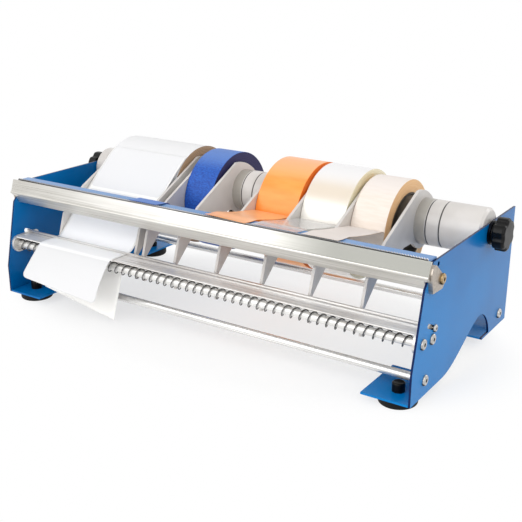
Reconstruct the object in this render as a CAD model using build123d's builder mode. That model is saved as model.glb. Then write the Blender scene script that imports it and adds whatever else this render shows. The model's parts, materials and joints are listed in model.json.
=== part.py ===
from build123d import *
from math import asin, atan2, cos, degrees, hypot, pi, sin, sqrt
import os

os.makedirs("parts", exist_ok=True)

# Driving dimensions in millimetres. X runs along the axle, Y from the front to the back and
# Z up from the bench. A place along Y is measured from the front foot of the side plates.

# Stand
width = 500.0
sheet = 2.0
plate_depth = 239.0
plate_top = 132.5
toe_height = 39.5
brow_y = 16.2
brow_z = 111.7
cheek_y = 22.0
cheek_z = 118.0
shoulder_y = 30.5
foot_height = 8.5
front_ground = 66.0
rear_ground = 49.0
arch_top = 39.6
# Shares of the way from the front to the rear ground line, and of the arch's rise
arch_shares = ((0.968, 0.392), (0.75, 1.0), (0.613, 0.865), (0.3145, 0.3055))
flange_reach = 48.0
flange_corner = 14.0
flange_lead = 19.0
pilot_y = 41.4
pilot_z = 128.0
pilot_radius = 2.2

# Feet
foot_inset = 21.0
foot_radius = 18.0
foot_round = 2.2
stud_radius = 3.0
stud_length = 8.5
foot_nut_radius = 6.0
foot_nut_height = 9.0
foot_nut_round = 1.5
back_foot_inset = 24.0
back_foot_side = 31.0
back_stud_length = 6.5
back_nut_height = 6.0

# Fits
running = 0.1
gap = 0.3
overrun = 5.0

# Rods and their screws
rod_radius = 4.0
spring_rod_y = 18.5
spring_rod_z = 61.5
guide_rod_y = 38.7
guide_rod_z = 59.0
front_rod_y = 27.5
front_rod_z = 24.0
rear_rod_inset = 22.5
rear_rod_z = 22.0
screw_radius = 2.5
screw_depth = 12.0
head_radius = 5.2
head_height = 2.2
socket_radius = 1.9
socket_depth = 1.3

# Cutter bar, blade and tape table
bar_wall = 2.0
bar_top_y = 21.0
bar_top_z = 136.0
bar_nose_y = 16.2
bar_nose_z = 122.0
bar_lip_y = 23.0
bar_lip_z = 110.0
bar_bead = 1.7
bar_overhang = 2.0
bar_notch_z = 118.5
table_front = 25.2
table_back = 42.0
table_top = 134.9
table_skirt = 15.0
table_wall = 1.5
table_bend = 3.0
blade_thick = 1.0
blade_tip = 137.0
blade_height = 13.0
tooth_pitch = 2.5
tooth_depth = 1.2

# Lugs that hold the bar
lug_thick = 4.0
lug_tip_z = 131.0
lug_root_z = 124.2
lug_top_y = 27.0
lug_top_z = 132.0
lug_tail_y = 52.0
lug_tail_z = 112.0
lug_heel_y = 44.0
lug_heel_z = 105.5
lug_chin_y = 24.0
lug_chin_z = 106.5
lug_round = 4.5
lug_screw_y = 42.0
lug_screw_z = 115.0

# Peel plate, its cheeks and the strip that holds the labels down
peel_front = 11.6
peel_back = 36.0
peel_top = 72.0
peel_wall = 1.2
peel_edge_round = 0.5
peel_bend = 2.2
peel_skirt = 7.8
cheek_front = 6.9
cheek_back = 40.0
cheek_low = 53.4
cheek_high = 72.6
cheek_round = 9.0
cheek_floor = 1.2
cheek_rim = 3.0
cheek_rim_wall = 1.4
cheek_screw_y = 42.6
cheek_screw_z = 68.2
cheek_ear = 4.2
tilt_slot_y = 29.0
tilt_slot_z = 74.7
tilt_slot_width = 4.5
small_head_radius = 3.6
small_head_height = 2.2
small_screw_radius = 1.6
strip_y = 31.7
strip_width = 2.0
strip_thick = 1.8

# Tension spring round the front rod
wire_radius = 0.6
coil_radius = 5.4
coil_turns = 52
coil_sag = 0.5

# Axle
axle_y = 170.0
axle_z = 122.5
axle_radius = 5.0
axle_end_radius = 4.0
axle_chamfer = 0.6
axle_play = 2.0
slot_clearance = 0.3
hub_radius = 23.5
hub_chamfer = 1.0
hub_shoulder = 2.5
boss_length = 12.0
ring_length = 14.0

# Dividers: shares of the way from the middle to a side plate, for their own middles
divider_thick = 3.0
divider_shares = (-0.8387, -0.3831, -0.3387, -0.1653, 0.0484, 0.2722, 0.494, 0.7177)
tongue_tip_z = 42.0
tongue_width = 3.4
divider_back = 28.4
# Shares of the tongue tip's reach to the axle, along Y and Z
front_shares = ((0.0, 0.35), (0.068, 0.672), (0.332, 0.989), (0.890, 1.418))
crest_shares = ((0.985, 1.400), (1.083, 1.335))
crest_end_shares = (1.180, 1.200)
lower_shares = ((0.985, 0.700), (0.885, 0.750), (0.780, 0.785), (0.661, 0.788), (0.214, 0.588))
tongue_share = 0.328

# Rolls: the core, what each winding's radius is, and how much of its lane it leaves free
core_bore = 38.0
core_radius = 40.0
roll_play = 0.4
label_radius = 57.0
label_slack = 1.5
blue_radius = 56.0
blue_slack = 3.5
orange_radius = 58.5
orange_slack = 2.2
clear_radius = 58.5
clear_slack = 1.7
tan_radius = 53.5
tan_slack = 14.3
tape_thick = 0.35
tail_lift = 0.6
tail_end_y = 23.4
peel_line_z = 121.0

# Label web and the backing paper that it leaves behind
web_thick = 0.3
web_bow = 4.2
web_bow_share = 0.22
web_bow_bend = 60.0
web_flat_y = 42.5
web_flat_bend = 12.0
web_edge_y = 9.5
web_edge_bend = 10.0
web_turn_y = -12.0
web_turn_z = 53.2
web_turn_bend = 25.0
web_end_y = -16.8
web_end_z = 34.0
backing_turn_y = 25.6
backing_turn_bend = 1.2
backing_end_y = 8.7
backing_end_z = 5.0
backing_bend = 20.0
# Shares of the way from the backing paper's turn down to its end, along Y and Z
backing_shares = ((0.012, 0.22), (0.402, 0.551), (0.793, 0.811))

# Clamp knobs
washer_radius = 12.0
washer_thick = 2.4
knob_radius = 16.5
knob_reach = 18.0
knob_lobes = 6
knob_valley = 5.0
knob_valley_depth = 2.2
knob_lobe_round = 3.4
knob_collar = 10.0
knob_collar_length = 3.0
knob_round = 3.0
knob_heel_round = 1.2
knob_bore_rest = 2.0

# Sizes that follow from those above
half = width / 2
inner = half - sheet
datum_y = (plate_depth + web_end_y) / 2
flange_top = foot_height + sheet
rear_start = plate_depth - rear_ground
arch_run = rear_start - front_ground
arch_rise = arch_top - foot_height
rear_rod_y = plate_depth - rear_rod_inset
tongue_y = guide_rod_y + rod_radius + gap
roll_z = axle_z + hub_radius + gap - core_bore
knob_seat = half + 2 * gap + washer_thick
knob_outer = half + knob_reach
axle_end = knob_outer - knob_bore_rest - axle_play


def side_plane(x):
    # Looks along X: its first axis is the depth from the front, its second the height.
    return Plane(origin=(x, -datum_y, 0), x_dir=(0, 1, 0), z_dir=(1, 0, 0))


def bench_plane(z):
    return Plane(origin=(0, -datum_y, z))


def finish(piece, node):
    piece.part.label = node
    export_step(piece.part, f"parts/{node}.step")


def round_bar(start, stop, places, radius, mode=Mode.ADD):
    # Cylinders along X at the given places of the side view
    with BuildSketch(side_plane(start)) as section:
        with Locations(*places):
            Circle(radius)
    extrude(section.sketch, amount=stop - start, mode=mode)


def bent_strip(start, stop, points, radii, thickness, grows=Side.RIGHT):
    # A bent strip from one place along X to another, between a path and its offset
    with BuildSketch(side_plane(start)) as section:
        with BuildLine():
            FilletPolyline(*points, radius=radii)
            offset(amount=thickness, side=grows)
        make_face()
    extrude(section.sketch, amount=stop - start)


def build_screw(head, height, shank, length):
    # A button-head screw along X with its head's seat at the origin
    with BuildPart() as screw:
        with BuildSketch(Plane.YZ):
            Circle(head)
        extrude(amount=height)
        fillet(screw.edges().sort_by(Axis.X)[-1], height - socket_depth / 2)
        with BuildSketch(Plane.YZ.offset(height)):
            RegularPolygon(socket_radius * head / head_radius, 6)
        extrude(amount=-socket_depth, mode=Mode.SUBTRACT)
        with BuildSketch(Plane.YZ):
            Circle(shank)
        extrude(amount=-length)
    return screw.part


def screw_group(node, screw, places, seat):
    # The same screw at each place, on both outer faces
    with BuildPart() as group:
        for y, z in places:
            with Locations(Location((seat, y - datum_y, z)), Location((-seat, y - datum_y, z), (0, 0, 180))):
                add(screw)
    finish(group, node)


# Side plates: one folded sheet each, with the ground flanges turned inwards
rod_places = (
    (spring_rod_y, spring_rod_z),
    (guide_rod_y, guide_rod_z),
    (front_rod_y, front_rod_z),
    (rear_rod_y, rear_rod_z),
)
foot_rows = (
    (half - foot_inset, foot_inset, stud_length, foot_nut_height),
    (half - back_foot_side, plate_depth - back_foot_inset, back_stud_length, back_nut_height),
)
tilt_slot_run = hypot(cheek_screw_y - tilt_slot_y, cheek_screw_z - tilt_slot_z)
tilt_slot_turn = degrees(atan2(cheek_screw_z - tilt_slot_z, cheek_screw_y - tilt_slot_y))


def build_side_plate(side):
    face = inner if side > 0 else -half
    with BuildPart() as plate:
        with BuildSketch(side_plane(face)):
            with BuildLine():
                Polyline(
                    (front_ground, foot_height),
                    (0, foot_height),
                    (0, toe_height),
                    (brow_y, brow_z),
                    (cheek_y, cheek_z),
                    (shoulder_y, plate_top),
                    (plate_depth, plate_top),
                    (plate_depth, foot_height),
                    (rear_start, foot_height),
                )
                Spline(
                    (rear_start, foot_height),
                    *[(front_ground + run * arch_run, foot_height + rise * arch_rise) for run, rise in arch_shares],
                    (front_ground, foot_height),
                )
            make_face()
            with Locations((axle_y, axle_z - slot_clearance)):
                Circle(axle_radius + slot_clearance, mode=Mode.SUBTRACT)
            with Locations((axle_y, plate_top)):
                Rectangle(
                    2 * (axle_radius + slot_clearance),
                    2 * (plate_top - axle_z + slot_clearance),
                    mode=Mode.SUBTRACT,
                )
            with Locations(*rod_places, (lug_screw_y, lug_screw_z)):
                Circle(screw_radius + running, mode=Mode.SUBTRACT)
            with Locations(((tilt_slot_y + cheek_screw_y) / 2, (tilt_slot_z + cheek_screw_z) / 2)):
                SlotCenterToCenter(tilt_slot_run, tilt_slot_width, tilt_slot_turn, mode=Mode.SUBTRACT)
            with Locations((pilot_y, pilot_z)):
                Circle(pilot_radius, mode=Mode.SUBTRACT)
        extrude(amount=sheet)
        root = side * half
        tip = side * (half - flange_reach)
        with BuildSketch(bench_plane(foot_height)):
            with BuildLine():
                Polyline((root, 0), (tip, 0), (tip, front_ground), (root, front_ground), (root, 0))
            make_face()
            with BuildLine():
                Polyline(
                    (root, rear_start - flange_lead),
                    (tip + side * flange_corner, rear_start - flange_lead),
                    (tip, rear_start - flange_lead + flange_corner),
                    (tip, plate_depth),
                    (root, plate_depth),
                    (root, rear_start - flange_lead),
                )
            make_face()
            with Locations(*[(side * x, y) for x, y, _, _ in foot_rows]):
                Circle(stud_radius + running, mode=Mode.SUBTRACT)
        extrude(amount=sheet)
    return plate


left_side_plate = build_side_plate(-1)
finish(left_side_plate, "left_side_plate")
right_side_plate = build_side_plate(1)
finish(right_side_plate, "right_side_plate")

# Feet: rubber discs moulded on a stud that passes the flange into a capped nut
with BuildPart() as feet:
    for x, y, stud, _ in foot_rows:
        with BuildSketch(bench_plane(0)):
            with Locations((-x, y), (x, y)):
                Circle(foot_radius)
        extrude(amount=foot_height)
        fillet(feet.edges(Select.LAST).filter_by(GeomType.CIRCLE), foot_round)
        with BuildSketch(bench_plane(foot_height)):
            with Locations((-x, y), (x, y)):
                Circle(stud_radius)
        extrude(amount=stud)
finish(feet, "feet")

with BuildPart() as foot_nuts:
    for x, y, stud, nut in foot_rows:
        with BuildSketch(bench_plane(flange_top)):
            with Locations((-x, y), (x, y)):
                Circle(foot_nut_radius)
        extrude(amount=nut)
        fillet(foot_nuts.edges(Select.LAST).group_by(Axis.Z)[-1], foot_nut_round)
        with BuildSketch(bench_plane(flange_top)):
            with Locations((-x, y), (x, y)):
                Circle(stud_radius + running)
        extrude(amount=stud - sheet + gap, mode=Mode.SUBTRACT)
finish(foot_nuts, "foot_nuts")

# Cross rods, tapped at both ends for their screws
rods = {
    "spring_rod": (spring_rod_y, spring_rod_z),
    "guide_rod": (guide_rod_y, guide_rod_z),
    "lower_front_rod": (front_rod_y, front_rod_z),
    "rear_rod": (rear_rod_y, rear_rod_z),
}
for node, place in rods.items():
    with BuildPart() as rod:
        round_bar(-inner, inner, [place], rod_radius)
        for end in (-1, 1):
            round_bar(end * inner, end * (inner - screw_depth), [place], screw_radius + running, Mode.SUBTRACT)
    finish(rod, node)

rod_screw = build_screw(head_radius, head_height, screw_radius, sheet + screw_depth - gap)
screw_group("rod_screws", rod_screw, rods.values(), half)
lug_screw = build_screw(head_radius, head_height, screw_radius, lug_thick + 2 * sheet)
screw_group("lug_screws", lug_screw, [(lug_screw_y, lug_screw_z)], half + lug_thick)
peel_screw = build_screw(small_head_radius, small_head_height, small_screw_radius, sheet + cheek_floor)
screw_group("peel_screws", peel_screw, [(cheek_screw_y, cheek_screw_z)], half)

# Cutter bar: an extrusion with a nose bead, notched below it to pass between the plates
bar_rise = hypot(bar_top_y - bar_nose_y, bar_top_z - bar_nose_z)
lean_y = (bar_top_y - bar_nose_y) / bar_rise
lean_z = (bar_top_z - bar_nose_z) / bar_rise


def bar_back(z):
    # Depth of the back face of the bar's upper leg at a height
    root_y = bar_nose_y + bar_wall * lean_z
    root_z = bar_nose_z - bar_wall * lean_y
    return root_y + (z - root_z) * lean_y / lean_z


with BuildPart() as cutter_bar:
    bent_strip(
        -half - bar_overhang,
        half + bar_overhang,
        [(bar_lip_y, bar_lip_z), (bar_nose_y, bar_nose_z), (bar_top_y, bar_top_z)],
        bar_wall / 2,
        bar_wall,
    )
    with BuildSketch(side_plane(-half - bar_overhang)):
        with Locations((bar_nose_y + bar_bead / 2, bar_nose_z)):
            Circle(bar_bead)
        with Locations((bar_lip_y + bar_wall / 2, bar_lip_z + bar_wall / 4)):
            Circle(bar_wall / 2)
    extrude(amount=2 * (half + bar_overhang))
    for side in (-1, 1):
        with BuildSketch(side_plane(side * (inner - gap))):
            with Locations((bar_nose_y, bar_notch_z)):
                Rectangle(
                    bar_notch_z - bar_lip_z + overrun,
                    bar_notch_z - bar_lip_z + overrun,
                    align=(Align.MIN, Align.MAX),
                )
        extrude(amount=side * (sheet + gap + bar_overhang + overrun), mode=Mode.SUBTRACT)
finish(cutter_bar, "cutter_bar")

# Tape table: a channel between the plates whose top carries the tape ends
with BuildPart() as tape_table:
    bent_strip(
        -inner,
        inner,
        [
            (table_front, table_top - table_skirt),
            (table_front, table_top),
            (table_back, table_top),
            (table_back, table_top - table_skirt),
        ],
        table_bend,
        table_wall,
    )
finish(tape_table, "tape_table")

# Cutting blade: a strip toothed along its top edge, held on the table's front skirt
tooth_count = int((2 * inner - 2 * gap) / tooth_pitch)
blade_half = tooth_count * tooth_pitch / 2
with BuildPart() as cutting_blade:
    with BuildSketch(Plane(origin=(0, table_front - datum_y, 0), x_dir=(1, 0, 0), z_dir=(0, -1, 0))):
        with BuildLine():
            teeth = []
            for tooth in range(tooth_count):
                start = tooth * tooth_pitch - blade_half
                teeth.append((start, blade_tip - tooth_depth))
                teeth.append((start + tooth_pitch / 2, blade_tip))
            teeth.append((blade_half, blade_tip - tooth_depth))
            Polyline(
                *teeth,
                (blade_half, blade_tip - blade_height),
                (-blade_half, blade_tip - blade_height),
                teeth[0],
            )
        make_face()
    extrude(amount=blade_thick)
finish(cutting_blade, "cutting_blade")

# Lugs on the outer faces, whose front edges carry the bar's ends
for node, start in (("left_bar_lug", -half - lug_thick), ("right_bar_lug", half)):
    with BuildPart() as lug:
        with BuildSketch(side_plane(start)) as outline:
            with BuildLine():
                Polyline(
                    (bar_back(lug_root_z), lug_root_z),
                    (bar_back(lug_tip_z), lug_tip_z),
                    (lug_top_y, lug_top_z),
                    (lug_tail_y, lug_tail_z),
                    (lug_heel_y, lug_heel_z),
                    (lug_chin_y, lug_chin_z),
                    (bar_back(lug_root_z), lug_root_z),
                )
            make_face()
            fillet(outline.vertices().sort_by(Axis.Y)[2:], lug_round)
            with Locations((lug_screw_y, lug_screw_z)):
                Circle(screw_radius + running, mode=Mode.SUBTRACT)
        extrude(amount=lug_thick)
    finish(lug, node)

# Peel plate: a thin sheet with a rounded front edge and a rear skirt
with BuildPart() as peel_plate:
    bent_strip(
        -inner + cheek_rim,
        inner - cheek_rim,
        [(peel_front, peel_top), (peel_back, peel_top), (peel_back, peel_top - peel_skirt)],
        peel_bend,
        peel_wall,
    )
    fillet(peel_plate.edges().filter_by(Axis.X).group_by(Axis.Y)[0], peel_edge_round)
finish(peel_plate, "peel_plate")

# Cheeks: shallow pans that close the peel plate's ends and hold the spring
cheek_length = cheek_back - cheek_front
cheek_height = cheek_high - cheek_low
cheek_middle = ((cheek_front + cheek_back) / 2, (cheek_low + cheek_high) / 2)
for node, side in (("left_peel_cheek", -1), ("right_peel_cheek", 1)):
    with BuildPart() as cheek:
        with BuildSketch(side_plane(side * inner)):
            with Locations(cheek_middle):
                RectangleRounded(cheek_length, cheek_height, cheek_round)
            with Locations((cheek_screw_y, cheek_screw_z)):
                Circle(cheek_ear)
            with Locations(((cheek_back - cheek_ear + cheek_screw_y) / 2, cheek_screw_z)):
                Rectangle(cheek_screw_y - cheek_back + cheek_ear, 2 * cheek_ear)
            with Locations((spring_rod_y, spring_rod_z), (guide_rod_y, guide_rod_z)):
                Circle(rod_radius + running, mode=Mode.SUBTRACT)
            with Locations((cheek_screw_y, cheek_screw_z)):
                Circle(small_screw_radius + running, mode=Mode.SUBTRACT)
        extrude(amount=-side * cheek_floor)
        with BuildSketch(side_plane(side * (inner - cheek_floor))):
            with Locations(cheek_middle):
                RectangleRounded(cheek_length, cheek_height, cheek_round)
                RectangleRounded(
                    cheek_length - 2 * cheek_rim_wall,
                    cheek_height - 2 * cheek_rim_wall,
                    cheek_round - cheek_rim_wall,
                    mode=Mode.SUBTRACT,
                )
            with Locations((guide_rod_y, guide_rod_z)):
                Circle(rod_radius + running, mode=Mode.SUBTRACT)
        extrude(amount=-side * (cheek_rim - cheek_floor))
    finish(cheek, node)

# Strip that holds the label web down on the peel plate, its ends in the plates' slots
strip_bottom = peel_top + 2 * gap + web_thick
with BuildPart() as hold_down_strip:
    with BuildSketch(side_plane(-inner - sheet / 2)):
        with Locations((strip_y, strip_bottom)):
            Rectangle(strip_width, strip_thick, align=Align.MIN)
    extrude(amount=2 * inner + sheet)
finish(hold_down_strip, "hold_down_strip")

# Tension spring: one wire along a helix, in two arcs to each quarter turn
coil_z = spring_rod_z - coil_sag
coil_half = inner - cheek_floor - gap - wire_radius
coil_pitch = 2 * coil_half / coil_turns


def coil_point(turn):
    angle = 2 * pi * turn
    return Vector(
        coil_pitch * turn - coil_half,
        spring_rod_y - datum_y + coil_radius * sin(angle),
        coil_z + coil_radius * cos(angle),
    )


def coil_direction(turn):
    angle = 2 * pi * turn
    around = 2 * pi * coil_radius
    return Vector(coil_pitch, around * cos(angle), -around * sin(angle)).normalized()


def biarc_joint(start, start_way, end, end_way):
    # Where two arcs meet that leave and reach the ends along their ways, and their way there
    chord = end - start
    ways = start_way + end_way
    spread = 2 * (1 - start_way.dot(end_way))
    along = chord.dot(ways)
    reach = (sqrt(along * along + spread * chord.dot(chord)) - along) / spread
    leaving = start + start_way * reach
    arriving = end - end_way * reach
    return (leaving + arriving) / 2, (arriving - leaving).normalized()


arcs_per_turn = 4
with BuildPart() as tension_spring:
    with BuildLine() as coil_path:
        first = coil_point(0)
        Line(first - coil_direction(0) * 2 * wire_radius, first)
        for quarter in range(coil_turns * arcs_per_turn):
            a = coil_point(quarter / arcs_per_turn)
            b = coil_point((quarter + 1) / arcs_per_turn)
            a_way = coil_direction(quarter / arcs_per_turn)
            b_way = coil_direction((quarter + 1) / arcs_per_turn)
            joint, joint_way = biarc_joint(a, a_way, b, b_way)
            TangentArc(a, joint, tangent=a_way)
            TangentArc(joint, b, tangent=joint_way)
        last = coil_point(coil_turns)
        Line(last, last + coil_direction(coil_turns) * 2 * wire_radius)
    with BuildSketch(Plane(origin=coil_path.line @ 0, z_dir=coil_path.line % 0)):
        Circle(wire_radius)
    sweep()
finish(tension_spring, "tension_spring")

points_per_turn = 16
coil_places = [coil_point(step / points_per_turn) for step in range(coil_turns * points_per_turn + 1)]
least_gap = min(
    (coil_places[index + away] - coil_places[index]).length - 2 * wire_radius
    for index in range(len(coil_places) - 2 * points_per_turn)
    for away in range(points_per_turn // 2, 2 * points_per_turn)
)
print(f"Least gap of the tension spring to itself: {least_gap:.2f} mm")


# Axle: a shaft in the plates' slots with a thinner threaded end for each knob
with BuildPart() as axle:
    round_bar(-half, half, [(axle_y, axle_z)], axle_radius)
    round_bar(-axle_end, axle_end, [(axle_y, axle_z)], axle_end_radius)
    chamfer(axle.faces().filter_by(Axis.X).group_by(Axis.X)[0].edges(), axle_chamfer)
    chamfer(axle.faces().filter_by(Axis.X).group_by(Axis.X)[-1].edges(), axle_chamfer)
finish(axle, "axle")


def build_hub(start, stop, start_chamfer=hub_chamfer, stop_chamfer=hub_chamfer):
    # A sleeve on the axle with broken edges
    with BuildPart() as hub:
        round_bar(start, stop, [(axle_y, axle_z)], hub_radius)
        chamfer(hub.edges().filter_by(GeomType.CIRCLE).sort_by(Axis.X)[0], start_chamfer)
        chamfer(hub.edges().filter_by(GeomType.CIRCLE).sort_by(Axis.X)[-1], stop_chamfer)
        round_bar(start, stop, [(axle_y, axle_z)], axle_radius + running, Mode.SUBTRACT)
    return hub


# Dividers: a plate with a tongue behind the guide rod, and a boss round the axle.
# The second divider is turned about, with its boss to the left.
turned_divider = 1
reach_y = axle_y - tongue_y
reach_z = axle_z - tongue_tip_z


def divider_point(shares):
    return (tongue_y + shares[0] * reach_y, tongue_tip_z + shares[1] * reach_z)


divider_places = [inner * share for share in divider_shares]
for index, place in enumerate(divider_places):
    side = -1 if index == turned_divider else 1
    face = place + side * divider_thick / 2
    with BuildPart() as divider:
        with BuildSketch(side_plane(place - divider_thick / 2)):
            with BuildLine():
                Polyline((tongue_y, tongue_tip_z), *[divider_point(shares) for shares in front_shares])
                ThreePointArc(
                    divider_point(front_shares[-1]),
                    divider_point(crest_shares[-1]),
                    divider_point(crest_end_shares),
                )
                Polyline(
                    divider_point(crest_end_shares),
                    (axle_y, axle_z),
                    *[divider_point(shares) for shares in lower_shares],
                    (tongue_y + tongue_width, tongue_tip_z + tongue_share * reach_z),
                    (tongue_y + tongue_width, tongue_tip_z),
                    (tongue_y, tongue_tip_z),
                )
            make_face()
            with Locations((axle_y, axle_z)):
                Circle(divider_back)
        extrude(amount=divider_thick)
        with BuildSketch(side_plane(face)):
            with Locations((axle_y, axle_z)):
                Circle(hub_radius)
        extrude(amount=side * boss_length)
        chamfer(divider.faces().filter_by(Axis.X).sort_by(Axis.X)[-1 if side > 0 else 0].edges(), hub_chamfer)
        with BuildSketch(side_plane(place - side * divider_thick / 2)):
            with Locations((axle_y, axle_z)):
                Circle(axle_radius + running)
        extrude(amount=side * (divider_thick + boss_length), mode=Mode.SUBTRACT)
    finish(divider, f"divider_{index + 1}")

# Hubs and spacer rings fill the axle between the dividers
right_faces = [place + divider_thick / 2 for place in divider_places]
left_faces = [place - divider_thick / 2 for place in divider_places]
hub_end = inner - gap
lanes = {
    "left_end_hub": (-hub_end, left_faces[0]),
    "lane_hub_1": (right_faces[0] + boss_length, left_faces[1] - boss_length),
    "lane_hub_2": (right_faces[2] + boss_length, left_faces[3]),
    "lane_hub_3": (right_faces[3] + boss_length + ring_length, left_faces[4]),
    "lane_hub_4": (right_faces[4] + boss_length, left_faces[5]),
    "lane_hub_5": (right_faces[5] + boss_length, left_faces[6]),
    "lane_hub_6": (right_faces[6] + boss_length, left_faces[7]),
    "right_end_hub": (right_faces[7] + boss_length + ring_length, hub_end),
}
for node, (start, stop) in lanes.items():
    hub = build_hub(
        start,
        stop,
        hub_shoulder if node == "left_end_hub" else hub_chamfer,
        hub_shoulder if node == "right_end_hub" else hub_chamfer,
    )
    finish(hub, node)

rings = (
    (right_faces[1], left_faces[2]),
    (right_faces[3] + boss_length, right_faces[3] + boss_length + ring_length),
    (right_faces[7] + boss_length, right_faces[7] + boss_length + ring_length),
)
with BuildPart() as spacer_rings:
    for start, stop in rings:
        ring = build_hub(start, stop)
        add(ring.part)
finish(spacer_rings, "spacer_rings")

# Rolls: a cardboard core with tape or labels wound on it, hanging on the hubs. Each one
# stands between the dividers of its lane.
roll_places = {
    "label": (right_faces[0] + roll_play, left_faces[1] - label_slack, label_radius),
    "blue": (right_faces[2] + roll_play, left_faces[3] - blue_slack, blue_radius),
    "orange": (right_faces[4] + roll_play, left_faces[5] - orange_slack, orange_radius),
    "clear": (right_faces[5] + roll_play, left_faces[6] - clear_slack, clear_radius),
    "tan": (right_faces[6] + roll_play, left_faces[7] - tan_slack, tan_radius),
}
for name, (start, stop, radius) in roll_places.items():
    with BuildPart() as core:
        round_bar(start, stop, [(axle_y, roll_z)], core_radius - running)
        round_bar(start, stop, [(axle_y, roll_z)], core_bore, Mode.SUBTRACT)
    finish(core, f"{name}_core")
    with BuildPart() as winding:
        round_bar(start, stop, [(axle_y, roll_z)], radius)
        round_bar(start, stop, [(axle_y, roll_z)], core_radius, Mode.SUBTRACT)
    finish(winding, f"{name}_roll")

# Tape ends: from the blade over the table to the roll's front, and for the blue roll to
# its underside
table_edge = (table_back + gap, table_top + gap)
blade_rest = (tail_end_y, blade_tip + tail_lift)


def peel_line(radius):
    rise = peel_line_z - roll_z
    return (axle_y - sqrt(radius * radius - rise * rise), peel_line_z)


def tangent_point(place, radius, turn):
    # Where a straight line from a place touches a roll, over it with turn 1 and under it with -1
    away_y = axle_y - place[0]
    away_z = roll_z - place[1]
    away = hypot(away_y, away_z)
    angle = atan2(away_z, away_y) + turn * asin(radius / away)
    reach = sqrt(away * away - radius * radius)
    return (place[0] + reach * cos(angle), place[1] + reach * sin(angle))


for name in ("blue", "orange", "clear", "tan"):
    start, stop, radius = roll_places[name]
    outside = radius + gap + tape_thick
    leaving = tangent_point(table_edge, outside, -1) if name == "blue" else peel_line(outside)
    with BuildPart() as tail:
        bent_strip(start, stop, [blade_rest, table_edge, leaving], tape_thick, tape_thick, Side.LEFT)
    finish(tail, f"{name}_tape_end")

# Label web: from the roll down under the strip, over the peel edge and curling away
web_z = peel_top + gap + web_thick
label_start, label_stop, label_rim = roll_places["label"]
lift_y, lift_z = tangent_point((web_flat_y, web_z), label_rim + gap + web_thick, 1)
bow_y = web_flat_y + web_bow_share * (lift_y - web_flat_y)
bow_z = web_z + web_bow_share * (lift_z - web_z) + web_bow
with BuildPart() as label_web:
    bent_strip(
        label_start,
        label_stop,
        [
            (lift_y, lift_z),
            (bow_y, bow_z),
            (web_flat_y, web_z),
            (web_edge_y, web_z),
            (web_turn_y, web_turn_z),
            (web_end_y, web_end_z),
        ],
        [web_bow_bend, web_flat_bend, web_edge_bend, web_turn_bend],
        web_thick,
        Side.LEFT,
    )
finish(label_web, "label_web")

backing_top = peel_top - peel_wall - gap
backing_fall_y = backing_end_y - backing_turn_y
backing_fall_z = backing_end_z - backing_top
with BuildPart() as backing_paper:
    bent_strip(
        -half + flange_reach + gap,
        label_stop,
        [
            (peel_front, backing_top),
            (backing_turn_y, backing_top),
            *[(backing_turn_y + y * backing_fall_y, backing_top + z * backing_fall_z) for y, z in backing_shares],
            (backing_end_y, backing_end_z),
        ],
        [backing_turn_bend, backing_bend / 2, backing_bend, backing_bend],
        web_thick,
    )
finish(backing_paper, "backing_paper")

# Clamp washers and lobed knobs on the axle's ends
for node, side in (("left", -1), ("right", 1)):
    seat = side * (half + gap)
    with BuildPart() as washer:
        with BuildSketch(side_plane(seat)):
            with Locations((axle_y, axle_z)):
                Circle(washer_radius)
                Circle(axle_end_radius + running, mode=Mode.SUBTRACT)
        extrude(amount=side * washer_thick)
    finish(washer, f"{node}_washer")
    with BuildPart() as knob:
        with BuildSketch(side_plane(side * (knob_seat + knob_collar_length))) as lobes:
            with Locations((axle_y, axle_z)):
                Circle(knob_radius)
                with PolarLocations(knob_radius - knob_valley_depth + knob_valley, knob_lobes):
                    Circle(knob_valley, mode=Mode.SUBTRACT)
            fillet(lobes.vertices(), knob_lobe_round)
        extrude(amount=side * (knob_outer - knob_seat - knob_collar_length))
        fillet(knob.edges().group_by(Axis.X)[-1 if side > 0 else 0], knob_round)
        fillet(knob.edges().group_by(Axis.X)[0 if side > 0 else -1], knob_heel_round)
        with BuildSketch(side_plane(side * knob_seat)):
            with Locations((axle_y, axle_z)):
                Circle(knob_collar)
        extrude(amount=side * knob_collar_length)
        with BuildSketch(side_plane(side * knob_seat)):
            with Locations((axle_y, axle_z)):
                Circle(axle_end_radius + running)
        extrude(amount=side * (knob_outer - knob_bore_rest - knob_seat), mode=Mode.SUBTRACT)
    finish(knob, f"{node}_knob")
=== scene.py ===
import bmesh
import bpy
import json
import numpy as np
from math import pi, radians
from mathutils import Matrix


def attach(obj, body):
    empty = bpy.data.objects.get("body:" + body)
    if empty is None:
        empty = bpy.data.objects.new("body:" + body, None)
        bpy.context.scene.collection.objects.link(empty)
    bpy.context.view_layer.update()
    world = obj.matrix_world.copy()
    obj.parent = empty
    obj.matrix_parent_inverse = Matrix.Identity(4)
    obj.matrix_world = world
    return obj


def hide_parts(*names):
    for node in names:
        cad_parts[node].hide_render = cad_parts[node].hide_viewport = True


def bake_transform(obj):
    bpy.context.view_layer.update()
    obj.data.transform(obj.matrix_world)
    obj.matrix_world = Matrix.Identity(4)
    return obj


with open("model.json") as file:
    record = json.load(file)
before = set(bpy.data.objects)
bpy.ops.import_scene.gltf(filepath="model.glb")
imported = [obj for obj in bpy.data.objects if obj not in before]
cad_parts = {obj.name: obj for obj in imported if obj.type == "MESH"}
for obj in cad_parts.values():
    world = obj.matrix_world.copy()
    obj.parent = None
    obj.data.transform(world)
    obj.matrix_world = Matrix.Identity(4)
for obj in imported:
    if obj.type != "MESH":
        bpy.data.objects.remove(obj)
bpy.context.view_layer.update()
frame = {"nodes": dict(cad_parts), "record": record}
scene = bpy.context.scene
scene.view_settings.view_transform = "Standard"
mm = 0.001
frontDepth = 111.1  # mm from the front foot of the side plates back to the frame's origin
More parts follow.
